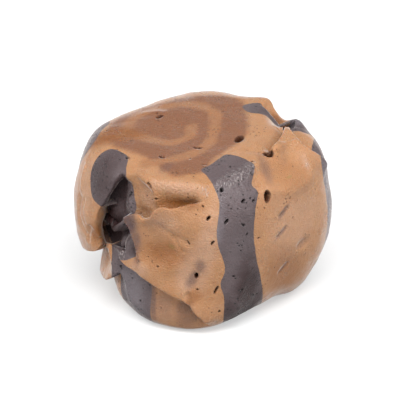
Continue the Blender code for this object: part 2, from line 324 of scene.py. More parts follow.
# %% Stripes
STRIPES = {
    "stripe_front": (18, [
        (-1, 50), (8, 54), (18, 58), (29, 60), (39, 54), (40, 47), (35, 42), (31, 38), (32, 34),
        (29, 28), (27, 20), (27, 12), (29, -3), (32, -14), (36, -27), (41, -40), (41, -54), (28, -62),
        (17, -54), (12, -33), (11, -19), (9, -11), (11, -1), (7, 17), (9, 32), (7, 39), (3, 46)]),
    "stripe_front_left": (-50, [
        (-75, 41), (-67, 44), (-59, 44), (-52, 39), (-47, 32), (-42, 25), (-41, 17), (-37, 9), (-36, -1),
        (-42, -5), (-49, -7), (-40, -12), (-31, -16), (-30, -23), (-32, -38), (-36, -57), (-50, -60),
        (-60, -48), (-55, -29), (-54, -16), (-55, -8), (-59, -5), (-61, 0), (-61, 8), (-60, 14), (-60, 18),
        (-67, 21), (-72, 27), (-75, 35)]),
    "stripe_left": (-98, [
        (-110, 39), (-98, 38), (-91, 36), (-87, 32), (-87, 27), (-91, 16), (-95, 0), (-97, -48), (-104, -57),
        (-111, -48), (-114, 0), (-113, 22)]),
    "stripe_back": (-168, [
        (-168, 39), (-160, 34), (-158, 0), (-161, -56), (-174, -56), (-178, 0), (-176, 34)]),
    "stripe_back_right": (128, [
        (143, 53), (132, 54), (125, 50), (117, 47), (107, 45), (101, 42), (99, 37), (102, 30), (108, 22),
        (117, 5), (121, -28), (124, -50), (134, -58), (143, -48), (142, 0), (134, 27), (121, 34),
        (117, 39), (119, 42), (124, 43), (133, 45), (142, 49)]),
    "stripe_right": (94, [
        (99, 33), (91, 35), (85, 35), (80, 32), (79, 27), (80, 17), (80, 6), (80, -6), (84, -40), (90, -56),
        (103, -55), (104, -15), (107, 24)]),
}
STRIPE_NAMES = list(STRIPES)
BORDER_WANDER = 0.05 * MM
RIM_START = 0.7         # share of the half height from which the surface is fully unrolled over the rim
FAR_OUTSIDE = -9 * MM   # stands for points that aren't near a stripe
MARGIN = 1 * MM         # how far round its outline a stripe is measured


def unrolled(points, heading):
    """Across a stripe and up along it, for points of the plain block, and how far ahead they lie."""
    ahead, aside = direction([(heading, 0), (heading + 90, 0)])
    forward = points @ ahead
    over = np.clip(points[:, 2] / (RIM_START * HALF_HEIGHT), -1, 1)
    up = points[:, 2] + (point_at((heading, 0)) @ ahead - forward) * over
    return np.stack([points @ aside, up], -1), forward


def inside_ring(points, ring):
    """How far flat points lie inside a closed outline, or outside it where that is negative."""
    nearest = np.full(len(points), 1.0)
    inside = np.zeros(len(points), bool)
    for start, end in zip(ring, np.roll(ring, -1, 0)):
        along = end - start
        share = np.clip(((points - start) @ along) / (along @ along), 0, 1)
        nearest = np.minimum(nearest, np.linalg.norm(points - start - share[:, None] * along, axis=1))
        crosses = (start[1] > points[:, 1]) != (end[1] > points[:, 1])
        reach = start[0] + (points[:, 1] - start[1]) * along[0] / (along[1] or 1e-12)
        inside ^= crosses & (points[:, 0] < reach)
    return np.where(inside, nearest, -nearest)


def inside_stripe(points, heading, outline):
    """How far points lie inside one stripe."""
    flat, forward = unrolled(points, heading)
    ring = smooth_ring(unrolled(plain_form(direction(outline)), heading)[0])
    near = (forward > 0) & (flat > ring.min(0) - MARGIN).all(1) & (flat < ring.max(0) + MARGIN).all(1)
    depth = np.full(len(points), FAR_OUTSIDE)
    depth[near] = inside_ring(flat[near], ring)
    return depth


def stripe_depths(points):
    """For each point, how far it lies inside the stripe that it is nearest to, and which that is."""
    depths = np.stack([inside_stripe(points, *stripe) for stripe in STRIPES.values()])
    wander = BORDER_WANDER * (roughly(points, 1.6 * MM, 3) + 0.6 * roughly(points, 0.5 * MM, 4))
    return depths.max(0) + wander, depths.argmax(0)


print(len(STRIPES), "stripes:", ", ".join(STRIPE_NAMES))

# %% [markdown]
# ## Strokes
# The folds are too few and too particular for noise, and too many to build as separate sheets.
# So the surface is worked as a modeller works clay, with named strokes: a pull moves a region, a
# dent presses it in, a crease draws a groove or a ridge, and a fold lays the edge of a sheet over
# what lies below. Each stroke is placed on the plain block, so it depends neither on how fine the
# mesh is nor on the strokes before it.

# %% Pulls and dents
# place, reach, how far to the right, back and up (mm)
PULLS = {
    "right belly": ((88, -2), 5.0, (0.6, 0, 0)),
    "right hip": ((62, -36), 5.0, (-0.4, 0.2, 0.1)),
    "right side, low down": ((84, -32), 3.0, (-0.4, 0, 0)),
    "front right hem": ((38, -42), 5.0, (-0.3, 0.6, 0.2)),
    "right foot": ((76, -40), 2.5, (0.1, -0.1, -0.5)),
    "front hem": ((-4, -40), 4.0, (0, -0.6, -0.2)),
    "left front hem": ((-42, -42), 4.0, (0.2, -1.1, -0.3)),
    "left lobe": ((-85, -2), 4.5, (-0.7, 0, 0)),
    "left waist": ((-84, -36), 4.5, (2.2, 0.2, 0)),
    "curl of the left lobe": ((-71, 9), 1.0, (-0.15, -0.4, 0.1)),
    "back rim": ((168, 40), 6.0, (0.2, 0.4, 0.3)),
    "back left rim": ((-125, 44), 4.0, (0.3, 0, 0)),
    "back right corner": ((140, 42), 1.5, (0.8, 0.8, 0.3)),
    "bump behind the right flap": ((112, 38), 1.1, (0.2, 0.3, 0.7)),
    "back left shoulder": ((-115, 35), 4.0, (-0.4, 0.5, 0)),
    "right shoulder": ((95, 32), 3.0, (0.2, 0.3, -0.3)),
}
# place, half width, half height, depth (mm)
DENTS = {
    "valley under the front rim": ((-15, 32), 3.0, 0.9, 1.0),
    "hollow of the left stripe": ((-52, 22), 1.3, 2.8, 1.2),
    "pocket": ((-57, -1), 1.2, 1.1, 1.6),
    "hollow of the flap": ((-18, 6), 2.6, 2.8, 0.5),
    "under layer": ((-30, -24), 5.0, 1.8, 0.5),
    "hollow behind the right flap": ((113, 43), 1.1, 1.6, 1.3),
    "brown hollow at the back right": ((126, 41), 1.0, 1.6, 0.9),
    "purple hollow of the flap": ((-5, -9), 1.1, 2.2, 0.35),
}
# place, reach, the way that the flat faces, how far the surface is pressed in at the place (mm)
FLATS = {
    "facet under the left rim": ((-37, 31), 2.2, (-46, 14), 0.75),
    "right shoulder": ((48, 38), 3.4, (47, 57), 0.3),
}
print(len(PULLS), "pulls,", len(DENTS), "dents and", len(FLATS), "flats")

# %% [markdown]
# A fold's path is the edge of the upper sheet, which lies on the path's left, seen from outside.
# Five sizes in millimetres follow it: `raised` and `dropped`, the heights of the two sheets at the
# edge, `up` and `down`, how soon each settles back into the form, and `lap`, how far the upper
# edge leans out over the lower sheet. Then come the shares of the path over which its ends fade.

# %% Folds
# path, raised, dropped, up, down, lap (mm), shares at the ends
FOLDS = {
    "edge of the left lobe": (
        [(-60, -7), (-63, -1), (-62, 12), (-59, 22), (-56, 31), (-53, 38)],
        0.5, 1.3, 1.6, 1.3, 0.3, (0.15, 0.12)),
    "hem of the left lobe": (
        [(-128, -12), (-100, -17), (-82, -15), (-66, -10), (-60, -5)],
        0.3, 1.9, 1.6, 2.2, 0.4, (0.3, 0.1)),
    "lip of the front flap": (
        [(1, 34), (-5, 31), (-11, 29), (-17, 28), (-22, 28), (-25, 26), (-27, 23), (-31, 21),
         (-36, 21), (-42, 19), (-48, 13), (-54, 8), (-59, 5), (-63, 3)],
        0.45, 0.75, 0.55, 0.8, 0.3, (0.1, 0.04)),
    "roof of the pocket": (
        [(-64, -2), (-59, 1), (-54, 4), (-49, 8), (-44, 14)],
        0.1, 1.3, 0.4, 1.0, 0.25, (0.1, 0.1)),
    "left edge of the front flap": (
        [(-43, 18), (-40, 14), (-38, 9), (-36, 3), (-35, -4)],
        0.3, 0.9, 0.5, 0.8, 0.2, (0.08, 0.1)),
    "floor of the pocket": (
        [(-43, -2), (-49, -3), (-55, -5), (-62, -5)],
        0.3, 0.5, 0.5, 0.6, 0.2, (0.15, 0.15)),
    "hem of the front flap": (
        [(-49, -5), (-42, -8), (-34, -10), (-26, -13), (-12, -18), (-7, -21), (-4, -24),
         (1, -29), (4, -35)],
        0.4, 0.7, 1.2, 2.0, 0.35, (0.08, 0.1)),
    "sheet behind the pocket": (
        [(-84, -27), (-69, -25), (-63, -24), (-56, -20), (-49, -16)],
        0.9, 0.5, 0.9, 1.0, 0.3, (0.15, 0.1)),
    "upper right flap": (
        [(86, 22), (82, 30), (79, 34), (78, 38), (82, 41), (91, 44), (100, 45), (86, 47),
         (72, 48), (60, 49)],
        0.6, 0.7, 0.9, 0.8, 0.2, (0.1, 0.1)),
    "edge of the back right stripe": (
        [(104, 45), (112, 44), (118, 44), (124, 45), (132, 46), (138, 47)],
        0.2, 1.2, 0.5, 0.9, 0.15, (0.1, 0.3)),
    "rear flap": (
        [(-150, 34), (-156, 20), (-164, 8), (-170, -6), (-172, -22)],
        0.4, 0.6, 1.6, 1.4, 0.2, (0.25, 0.25)),
}
print(len(FOLDS), "folds, the longest with", max(len(fold[0]) for fold in FOLDS.values()), "places")

# %% [markdown]
# Creases are a path, a depth and a half width, in millimetres. A negative depth is a ridge.

# %% Creases
CREASES = {
    "ridge of the under layer": ([(-47, -9), (-50, -15), (-47, -22), (-43, -33)], -0.25, 0.5),
    "front rim": ([(-50, 40), (-30, 40), (-17, 40), (-5, 40), (6, 41)], -0.4, 0.6),
    "rim of the right shoulder": ([(4, 39), (20, 43), (32, 45), (42, 46), (52, 47)], -0.3, 0.55),
    "lower edge of the right shoulder": (
        [(32, 31), (42, 32), (52, 29), (62, 28), (70, 29), (76, 32)], -0.2, 0.6),
    "ridge beside the left facet": ([(-42, 40), (-30, 37), (-27, 33), (-29, 27)], -0.22, 0.35),
    "curl in the pocket": ([(-60, -2), (-58, 0), (-55, -1), (-54, -4)], -0.7, 0.2),
    "rib in the pocket": ([(-52, 3), (-50, 0), (-50, -3)], -0.5, 0.2),
    "wrinkle near the back left rim": ([(-120, 47), (-127, 51), (-134, 55), (-141, 58)], -0.12, 0.5),
    "groove below that wrinkle": ([(-117, 49), (-124, 52), (-131, 56)], 0.08, 0.4),
    "ridge of the front stripe": ([(22, 4), (22, -8), (19, -18), (17, -34)], -0.3, 0.7),
    "spine of the right flap": ([(61, 49), (67, 46), (72, 45), (78, 43), (82, 41)], -0.3, 0.32),
    "groove below that spine": ([(62, 46), (68, 43), (74, 42)], 0.22, 0.4),
    "roll over the hem of the flap": ([(-36, -3), (-28, -5), (-18, -4), (-9, 2)], -0.22, 0.8),
    "groove down the flap": ([(-26, 21), (-16, 16), (-8, 13), (-6, 10)], 0.15, 0.35),
    "groove beside the right flap": ([(55, 48), (44, 44), (36, 40), (31, 36)], 0.3, 0.5),
    "wrinkle of the left lobe": ([(-80, 30), (-78, 22), (-76, 16)], -0.16, 0.25),
    "groove round the curl of the lobe": ([(-76, 17), (-77, 9), (-75, 2), (-71, -2), (-67, -2)], 0.35, 0.28),
    "groove in the curl of the lobe": ([(-72, 17), (-73, 10), (-71, 5), (-68, 4)], 0.22, 0.18),
    "corner of the hem": ([(-4, -20), (-1, -26), (2, -32)], -0.2, 0.22),
    "fold above the corner": ([(-9, -15), (-6, -18), (-4, -24)], 0.16, 0.22),
    "crossing wrinkle of the flap": ([(-16, 16), (-12, 10), (-9, 6)], 0.12, 0.2),
    "left crease of the back": ([(-142, 32), (-138, 14), (-143, -4), (-140, -22)], 0.3, 0.5),
    "ridge beside that crease": ([(-136, 30), (-133, 14), (-137, -2)], -0.2, 0.45),
    "wrinkle of the back": ([(158, 22), (166, 12), (176, 8)], -0.18, 0.28),
    "lower wrinkle of the back": ([(162, -14), (170, -20), (179, -22)], 0.16, 0.28),
    "wrinkle of the right side": ([(111, 2), (117, -8), (116, -20)], 0.16, 0.28),
    "groove of the left lobe": ([(-66, 6), (-68, -1), (-69, -7)], 0.25, 0.25),
    "upper nick of the right face": ([(43, 18), (47, 20), (51, 22)], 0.14, 0.25),
    "middle nick of the right face": ([(40, 7), (45, 9), (49, 12)], 0.14, 0.25),
    "dimple of the right face": ([(56, -6), (60, -4), (64, -3)], 0.22, 0.45),
    "lower nick of the right face": ([(44, -18), (48, -15), (52, -12)], 0.12, 0.25),
    "groove in the top": ([(48, 58), (52, 57), (56, 54), (60, 51)], 0.14, 0.5),
    "crease of the back": ([(150, 30), (144, 12), (150, -8), (146, -26)], 0.35, 0.7),
}
print(len(CREASES), "creases")

# %% [markdown]
# ## Pores
# Pulling folds air into taffy, and the cut and pressed surface opens some of the bubbles. The ones that show
# from the front are listed one by one, with a radius, a depth and how long they are drawn. Smaller ones are
# scattered with a seed, most of them in the dark stripes and near the rims.

# %% Where the pores are
# place, radius, depth (mm), length over width, turn of the long way from upright (degrees)
PORES = [
    ((37, 31), 0.36, 1.5, 1.75, 12),
    ((59, 48), 0.40, 1.0, 1.2, 120),
    ((72, 66), 0.38, 0.9, 2.0, 95),
    ((-9, 71), 0.26, 0.6, 1.8, 90),
    ((-40, 54), 0.18, 0.5, 2.0, 95),
    ((-127, 57), 0.22, 0.5, 2.0, 95),
    ((-60, 44), 0.16, 0.5, 1.3, 90),
    ((42, 49), 0.14, 0.45, 1.3, 110),
    ((2, 54), 0.10, 0.3, 2.2, 100),
    ((3, 26), 0.14, 0.6, 2.0, 38),
    ((5, 14), 0.12, 0.55, 2.2, 35),
    ((-3, -6), 0.20, 0.9, 1.7, 12),
    ((7, -14), 0.13, 0.6, 3.6, 25),
    ((9, -26), 0.12, 0.4, 1.2, 0),
    ((11, 38), 0.16, 0.7, 1.3, 0),
    ((22, 32), 0.13, 0.6, 1.9, 60),
    ((12, 24), 0.14, 0.6, 2.2, 38),
    ((21, 21), 0.13, 0.55, 1.2, 30),
    ((28, 31), 0.13, 0.3, 1.3, 60),
    ((20, -16), 0.12, 0.3, 1.2, 0),
    ((-31, 38), 0.13, 0.5, 2.4, 125),
    ((-27, 32), 0.14, 0.7, 1.2, 60),
    ((-47, 29), 0.12, 0.5, 1.3, 150),
    ((-49, 22), 0.09, 0.35, 1.1, 0),
    ((-7, 13), 0.09, 0.25, 3.0, 150),
]
SCATTERED_PORES = 90
PORE_SEED = 11
STRIPE_CHANCE = 0.9         # how readily a small pore opens inside a stripe
RIM_CHANCE = 0.35           # near the rim
OTHER_CHANCE = 0.12         # and elsewhere
RIM_BAND = (30, 48)         # latitudes that count as near the rim
LOWEST_PORE = -40


def scatter_pores():
    """Small pores at seeded places, kept mostly where the surface is dark or near a rim."""
    draw = np.random.default_rng(PORE_SEED)
    chosen = []
    while len(chosen) < SCATTERED_PORES:
        way = draw.normal(size=(1, 3))
        way /= np.linalg.norm(way)
        spot = plain_form(way)
        depth = stripe_depths(spot)[0][0]
        lon, lat = place_of(spot)
        chance = RIM_CHANCE if RIM_BAND[0] < lat[0] < RIM_BAND[1] else OTHER_CHANCE
        chance = STRIPE_CHANCE if depth > 0.2 * MM else chance
        size = draw.uniform(0.06, 0.11)
        if draw.random() < chance and lat[0] > LOWEST_PORE:
            chosen.append(((lon[0], lat[0]), size, size * 2.5, draw.uniform(1, 1.6), draw.uniform(0, 180)))
    return chosen


all_pores = PORES + scatter_pores()
print(len(PORES), "pores by hand and", len(all_pores) - len(PORES), "scattered")

# %% [markdown]
# ## A mesh that is fine where it has to be
# A grid laid over a cube and blown up to the block gives even squares with no poles. Thin folds
# need squares of less than a tenth of a millimetre, and the broad faces don't, so the squares near
# folds, narrow creases, pores and borders are split again. A search tree over the points of the
# paths finds quickly how far each square is from them.

# %% Grid
GRID_STEPS = 58
GRID_SQUASH = 0.7
# for each round of splitting: the share of a spot's reach, and the reach from a path
FINE = ((1.0, 0.8 * MM), (0.5, 0.36 * MM), (0.0, 0.16 * MM))
NARROW = 0.29               # a crease of less than this half width, in millimetres, needs fine squares
TREE_STEP = 0.3 * MM        # spacing of the paths' points in the search trees
SPOT_MARGIN = 0.1 * MM
BORDER_REACH = 0.25 * MM
FINE_SPOTS = [((-54, 3), 3.4 * MM), ((22, 43), 3.2 * MM)]     # the pocket and the ripples
# place, half width, half height, spacing and height (mm), turn of the patch from upright (degrees)
RIPPLES = [
    ((22, 43), 2.4, 1.3, 0.30, 0.02, 165),
    ((22, 43), 2.4, 1.3, 0.60, 0.03, 75),
    ((5, 40), 0.9, 0.9, 0.3, 0.02, 165),
]


def ways_of(corners):
    """Unit vectors for points of the starting cube."""
    ways = np.tan(corners * math.pi / 4) * (1, 1, GRID_SQUASH)
    return ways / np.linalg.norm(ways, axis=1, keepdims=True)


def tree_of(centres):
    """A search tree over points."""
    tree = kdtree.KDTree(len(centres))
    for number, centre in enumerate(centres):
        tree.insert(centre, number)
    tree.balance()
    return tree


def split_near(grid, share, reach, paths, spots, border):
    """Split every square that is near a path, a spot or a border."""
    places = plain_form(ways_of(np.array([face.calc_center_median() for face in grid.faces])))
    wanted = np.array([paths.find(place)[2] < reach for place in places])
    for centre, spot_reach in spots:
        wanted |= np.linalg.norm(places - centre, axis=1) < spot_reach * share + SPOT_MARGIN
    if border:
        wanted |= np.abs(stripe_depths(places)[0]) < border
    edges = dict.fromkeys(edge for face, near in zip(grid.faces, wanted) if near for edge in face.edges)
    bmesh.ops.subdivide_edges(grid, edges=list(edges), cuts=1, use_grid_fill=True)


def paths_tree(rows):
    """A search tree over the paths of some strokes."""
    return tree_of(np.vstack([smooth_path(places, TREE_STEP) for places in rows]))


def make_grid():
    """The starting cube's grid, split where the work is fine."""
    grid = bmesh.new()
    bmesh.ops.create_cube(grid, size=2)
    bmesh.ops.subdivide_edges(grid, edges=grid.edges, cuts=GRID_STEPS - 1, use_grid_fill=True)
    folds = [fold[0] for fold in FOLDS.values()]
    all_paths = paths_tree(folds + [places for places, _, width in CREASES.values() if width < NARROW])
    spots = [(point_at(place), radius * long * MM * 2) for place, radius, _, long, _ in all_pores]
    spots += [(point_at(place), reach) for place, reach in FINE_SPOTS]
    split_near(grid, *FINE[0], all_paths, spots, BORDER_REACH)
    split_near(grid, *FINE[1], all_paths, spots, 0)
    split_near(grid, *FINE[2], paths_tree(folds), [], 0)
    bmesh.ops.triangulate(grid, faces=[face for face in grid.faces if len(face.verts) > 4])
    return grid


grid = make_grid()
print("grid:", len(grid.verts), "points,", len(grid.faces), "faces")

# %% [markdown]
# ## Cutting the grid along the stripes' borders
# A stripe is a solid of its own, let into the body, so the mesh needs edges that follow its
# border. Each edge that crosses the border gets a point there, and the faces are split between
# those points. Every face then lies wholly in one stripe or in the body.

# %% Cut the borders
BODY = -1
CUT_MARGIN = 0.15           # no cut lies nearer to the end of an edge than this share of it


def cut_borders(grid):
    """Split the grid's edges and faces along the stripes' borders."""
    corners = np.array([vert.co for vert in grid.verts])
    depths = stripe_depths(plain_form(ways_of(corners)))[0]
    grid.verts.index_update()
    cuts = {}
    for edge in grid.edges:
        first, second = (depths[vert.index] for vert in edge.verts)
        if first * second < 0:
            cuts[edge] = min(1 - CUT_MARGIN, max(CUT_MARGIN, first / (first - second)))
    made = bmesh.ops.bisect_edges(grid, edges=list(cuts), cuts=1, edge_percents=cuts)
    fresh = [item for item in made["geom_split"] if isinstance(item, bmesh.types.BMVert)]
    bmesh.ops.connect_verts(grid, verts=fresh)
    return len(fresh)


def owners(grid):
    """For each face, the number of the stripe that it lies in, or BODY."""
    middles = np.array([face.calc_center_median() for face in grid.faces])
    depths, nearest = stripe_depths(plain_form(ways_of(middles)))
    return np.where(depths > 0, nearest, BODY)


print("points along the borders:", cut_borders(grid))
face_owner = owners(grid)
print("faces in stripes:", int((face_owner != BODY).sum()))

# %% [markdown]
# ## The skin
# From here on the mesh keeps its faces and only its points move. `start` holds where each point
# lies on the plain block, `points` where the strokes have moved it, and `normals` the way out.

# %% Skin
skin_mesh = bpy.data.meshes.new("skin")
grid.to_mesh(skin_mesh)
grid.free()


def read_vectors(items, name):
    """One vector attribute of all of a mesh's items, as rows."""
    values = np.empty(len(items) * 3)
    items.foreach_get(name, values)
    return values.reshape(-1, 3)


skin = SimpleNamespace()
skin.start = plain_form(ways_of(read_vectors(skin_mesh.vertices, "co")))
skin.points = skin.start.copy()


def settle():
    """Take the present surface as the one that the next strokes push along."""
    skin_mesh.vertices.foreach_set("co", skin.points.ravel())
    skin_mesh.update()
    skin.normals = read_vectors(skin_mesh.vertex_normals, "vector")


settle()
skin.start_normals = skin.normals
print("skin:", len(skin.points), "points")

# %% Strokes that move the skin
STROKE_REACH = 6.0 * MM
LEAN_WIDTH = 0.6 * MM
END_FADE = 0.35 * MM
FOLD_EDGE = 0.2 * MM
FLAT_SOFTNESS = 0.12 * MM
CREASE_FADES = (0.2, 0.2)
FREE_DEPTH = 1.6 * MM       # hollows may be this deep
SPARE_DEPTH = 1.2 * MM      # and never more than this beyond it


def pull(place, reach, move):
    """Move the surface round a place bodily."""
    weight = bell(np.linalg.norm(skin.start - point_at(place), axis=1), reach * MM)
    skin.points += weight[:, None] * np.multiply(move, MM)


def dent(place, wide, tall, depth):
    """Press the surface in round a place."""
    off = skin.start - point_at(place)
    weight = bell(np.hypot(off[:, 0], off[:, 1]), wide * MM) * bell(off[:, 2], tall * MM)
    skin.points -= skin.normals * (weight * depth * MM)[:, None]


def flatten(place, reach, facing, depth):
    """Press a round region onto a plane, as a table or a finger would."""
    centre = point_at(place)
    weight = 1 - ramp(np.linalg.norm(skin.start - centre, axis=1), 0.75 * reach * MM, 1.25 * reach * MM)
    out = direction([facing])[0]
    level = skin.points[tree_of(skin.start).find(centre)[1]] @ out - depth * MM
    above = skin.points @ out - level
    pressed = 0.5 * (above + np.sqrt(above ** 2 + FLAT_SOFTNESS ** 2))
    skin.points -= (pressed * weight)[:, None] * out


def beside(places, fades, reach=STROKE_REACH):
    """The points near a path: which they are, how far to the left of it, how far from it,
    the way to its left, and a weight that fades towards its ends."""
    path = smooth_path(places)
    low, high = path.min(0) - reach, path.max(0) + reach
    near = np.nonzero(((skin.start > low) & (skin.start < high)).all(1))[0]
    points = skin.start[near]
    tree = tree_of(path)
    nearest = np.array([tree.find(point)[1] for point in points])
    tangents = np.gradient(path, axis=0)
    tangents /= np.linalg.norm(tangents, axis=1, keepdims=True)
    left = np.cross(skin.start_normals[near], tangents[nearest])
    left /= np.linalg.norm(left, axis=1, keepdims=True)
    off = points - path[nearest]
    share = nearest / (len(path) - 1)
    weight = ramp(share, 0, fades[0]) * (1 - ramp(share, 1 - fades[1], 1))
    weight *= bell((off * tangents[nearest]).sum(1), END_FADE)
    return near, (off * left).sum(1), np.linalg.norm(off, axis=1), left, weight


def crease(places, depth, width):
    """Draw a groove along a path, or a ridge where the depth is negative."""
    near, _, away, _, weight = beside(places, CREASE_FADES, width * MM * 4)
    weight *= bell(away, width * MM)
    skin.points[near] -= skin.normals[near] * (weight * depth * MM)[:, None]


def fold(places, raised, dropped, up, down, lap, fades):
    """Lay a sheet over the surface, whose edge leans out over a slot in the sheet below."""
    near, aside, _, left, weight = beside(places, fades)
    # in widths of the edge, the upper sheet starts at -0.4 and the slot under it lies from -1 to 0.3
    across = aside / FOLD_EDGE
    upper = ramp(across, -0.4, 1.0)
    lower = 1 - ramp(across, -1.0, 0.2)
    rise = upper * raised * bell(aside, up * MM) - (1 - upper) * dropped * bell(aside, down * MM)
    tucked = ramp(across, -1.0, -0.4) * (1 - ramp(across, -0.4, 0.3))
    lean = ramp(across, -0.4, 0.4) * lap * bell(aside, LEAN_WIDTH) - tucked * lap * 0.6
    lean -= lower * lap * 0.3 * bell(aside, LEAN_WIDTH)
    skin.points[near] += skin.normals[near] * (rise * weight * MM)[:, None]
    skin.points[near] -= left * (lean * weight * MM)[:, None]


def limit_depth(pulled):
    """Ease hollows that have grown too deep where folds cross, counted from the pulled form."""
    sunk = ((pulled - skin.points) * skin.start_normals).sum(1)
    over = np.maximum(sunk - FREE_DEPTH, 0)
    kept = SPARE_DEPTH * (1 - np.exp(-over / SPARE_DEPTH))
    skin.points += skin.start_normals * (over - kept)[:, None]


def work(stroke, table):
    """Use one kind of stroke for each row of its table."""
    for row in table.values():
        stroke(*row)


def shape_form():
    """All the strokes that make the form, one after another."""
    work(pull, PULLS)
    settle()
    pulled = skin.points.copy()
    work(dent, DENTS)
    work(flatten, FLATS)
    settle()
    work(fold, FOLDS)
    work(crease, CREASES)
    limit_depth(pulled)
    settle()


shape_form()
print("the form is", np.round(np.ptp(skin.points, axis=0) / MM, 2), "mm")

# %% [markdown]
# ## Fine surface
# Paper pressed on soft sugar leaves broad shallow lumps, and finer ones inside them. The pores go in last:
# steep round walls with painted shade that darkens the bottom and reaches a little past the edge.

# %% Lumps and pores
# size of the lumps, how far they push, seed
LUMPS = ((4.5 * MM, 0.10 * MM, 21), (1.6 * MM, 0.06 * MM, 22), (0.6 * MM, 0.026 * MM, 23))


def patch(place, turn, reach):
    """The points within reach of a place, and how far they lie across and along a mark there that
    is turned from upright, in millimetres."""
    out = direction([place])[0]
    east = np.cross((0, 0, 1), out)
    east /= np.linalg.norm(east)
    along = np.cross(out, east) * math.cos(math.radians(turn)) + east * math.sin(math.radians(turn))
    off = (skin.start - point_at(place)) / MM
    near = np.nonzero(np.linalg.norm(off, axis=1) < reach)[0]
    return near, off[near] @ np.cross(along, out), off[near] @ along


def lumps():
    """Push the surface in and out by smooth noise of a few sizes."""
    height = sum(depth * roughly(skin.start, size, seed) for size, depth, seed in LUMPS)
    skin.points += skin.normals * height[:, None]


def pore(place, radius, depth, long, turn):
    """Sink one pore, drawn out along its turn, and return its painted shade at each point."""
    near, aside, up = patch(place, turn, 2.5 * radius * long)
    away = np.hypot(up / long, aside) / radius
    # the wall is steep and lies just inside the pore's edge, and the painted shade reaches a little past it
    sunk = 1 - ramp(away, 0.65, 1.0)
    skin.points[near] -= skin.normals[near] * (sunk * depth * MM)[:, None]
    dark = np.zeros(len(skin.start))
    dark[near] = 1 - ramp(away, 0.95, 1.15)
    return dark


def ripple(place, wide, tall, spacing, height, turn):
    """Fine wrinkles side by side in a patch, across its turn."""
    near, aside, up = patch(place, turn, 1.3 * max(wide, tall))
    weight = 1 - ramp(np.hypot(aside / wide, up / tall), 0.5, 1.2)
    wander = 0.25 * roughly(skin.start[near], 0.9 * MM, 51)
    wave = np.sin(2 * math.pi * (up + wander) / spacing)
    skin.points[near] += skin.normals[near] * (weight * wave * height * MM)[:, None]


lumps()
for row in RIPPLES:
    ripple(*row)
settle()
pore_shade = np.max([pore(*each) for each in all_pores], axis=0)
settle()
print("points in pores:", int((pore_shade > 0.5).sum()))

# %% [markdown]
# ## Set the skin down in the frame
# The strokes were made round the block's middle. The solids' box says where the piece stands, so
# the skin is moved into it: same middle in plan, same top, and a flat underside on the paper.

# %% Place the skin
low, high = skin.points.min(0), skin.points.max(0)
skin.frame_shift = (np.array(cad_low) + np.array(cad_high) - low - high) / 2
skin.frame_shift[2] = cad_high.z - high[2]
skin.points += skin.frame_shift
print("skin box over the solids' box:",
      np.round((np.ptp(skin.points, axis=0) / (np.array(cad_high) - np.array(cad_low))), 3))
skin.points[:, 2] = np.maximum(skin.points[:, 2], cad_low.z)
settle()

# %% [markdown]
# ## Colour fields
# Some colours belong to places and not to a pattern: the swirl of the cut end, smudges, specks. Others are
# painted light and shade tied to places: the saturated shade of the valley below the rim, highlights on rims
# and edges, and shade in creases and hollows. They are kept as numbers on the points, which the materials
# read by name. A patch of stain or painted light is a place, a half width and half height in millimetres,
# how far it is turned from upright, and its strength.

# %% Swirl and mass of the cut end
SWIRL_LINE = [
    (-1.1, 1.2), (-1.3, -0.6), (-3.2, -2.0), (-5.3, -0.9), (-7.5, 0.1), (-6.9, 2.9), (-5.0, 5.1),
    (-1.8, 5.7), (0.8, 4.2), (1.2, 1.2), (0.2, -2.6), (-2.3, -5.0), (-5.5, -5.6)]
MASS_OUTLINE = [
    (-9.0, 2.8), (-9.1, -1.6), (-6.3, -3.8), (-4.8, -5.8), (-2.6, -8.0), (-0.3, -7.6), (1.2, -5.2),
    (4.2, -0.8), (4.6, 1.8), (4.1, 5.2), (2.7, 7.2), (-2.3, 7.4), (-7.3, 4.6)]
SWIRL_FADE = (0.35 * MM, 0.8 * MM)      # the light band fades between these distances from its line
MASS_FADE = (-0.3 * MM, 0.4 * MM)       # and the mass between these depths inside its outline
TOP_SHARE = 0.55            # of the half height, above which the cut top is coloured


def over_top(measure):
    """A field that is measured in plan on the cut top, and 0 elsewhere."""
    field = np.zeros(len(skin.start))
    top = np.nonzero(skin.start[:, 2] > HALF_HEIGHT * TOP_SHARE)[0]
    spots = skin.start[top]
    wobble = 0.3 * MM * roughly(spots, 1.8 * MM, 31) + 0.12 * MM * roughly(spots, 0.6 * MM, 32)
    field[top] = measure(spots[:, :2], wobble)
    return field


def swirl_band(plan, wobble):
    """1 along the light band of the swirl, fading to 0 beside it."""
    curve = smooth_line(np.array(SWIRL_LINE) * MM)
    tree = tree_of(np.hstack([curve, np.zeros((len(curve), 1))]))
    away = np.array([tree.find((x, y, 0))[2] for x, y in plan])
    return 1 - ramp(away + wobble, *SWIRL_FADE)


def brown_mass(plan, wobble):
    """1 inside the brown mass of the cut end, fading to 0 at its outline."""
    return ramp(inside_ring(plan, smooth_ring(np.array(MASS_OUTLINE) * MM)) + wobble, *MASS_FADE)


fields = {"pore": pore_shade, "swirl": over_top(swirl_band), "mass": over_top(brown_mass)}
print("brown mass on", int((fields["mass"] > 0.5).sum()), "points")
